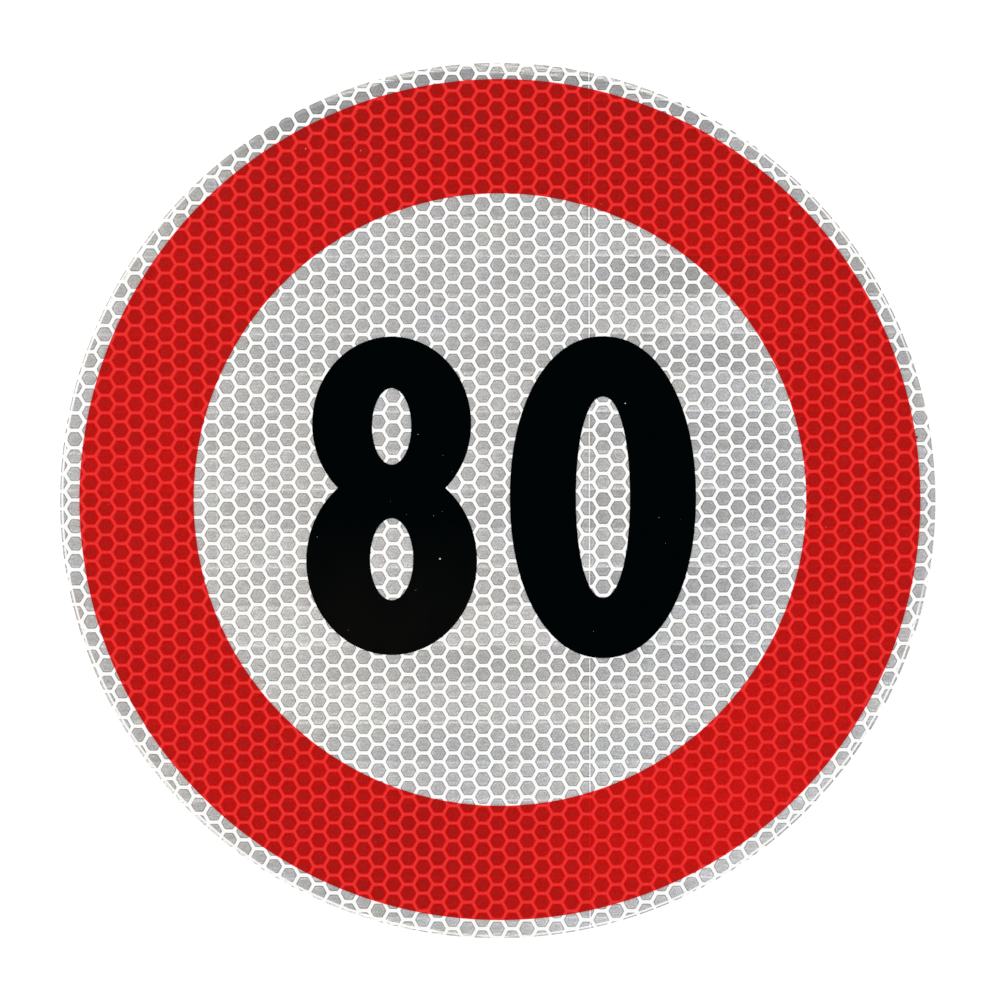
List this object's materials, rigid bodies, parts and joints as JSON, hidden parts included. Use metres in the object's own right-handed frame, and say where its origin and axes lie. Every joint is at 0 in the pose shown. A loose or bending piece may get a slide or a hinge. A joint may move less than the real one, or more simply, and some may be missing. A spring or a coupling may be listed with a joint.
{
  "type": "speed limit sign",
  "caption": "Round self-adhesive reflective speed limit sign: honeycomb sheeting with a red border and black digits, on its release liner.",
  "frame": {"origin": "centre of the release liner's back face, which is the underside of the disc as it lies", "axes": "+Z out of the printed face, +Y towards the top of the digits, +X to the right of the digits"},
  "size_m": [0.2, 0.2, 0.0006],
  "materials": {
    "liner_paper": "satin",
    "reflective_film": "gloss",
    "red_ink": "gloss",
    "black_ink": "gloss"
  },
  "bodies": {
    "root": {"release_liner": "liner_paper", "reflective_sheet": "reflective_film", "red_border": "red_ink", "digit_eight": "black_ink", "digit_zero": "black_ink"}
  },
  "joints": []
}
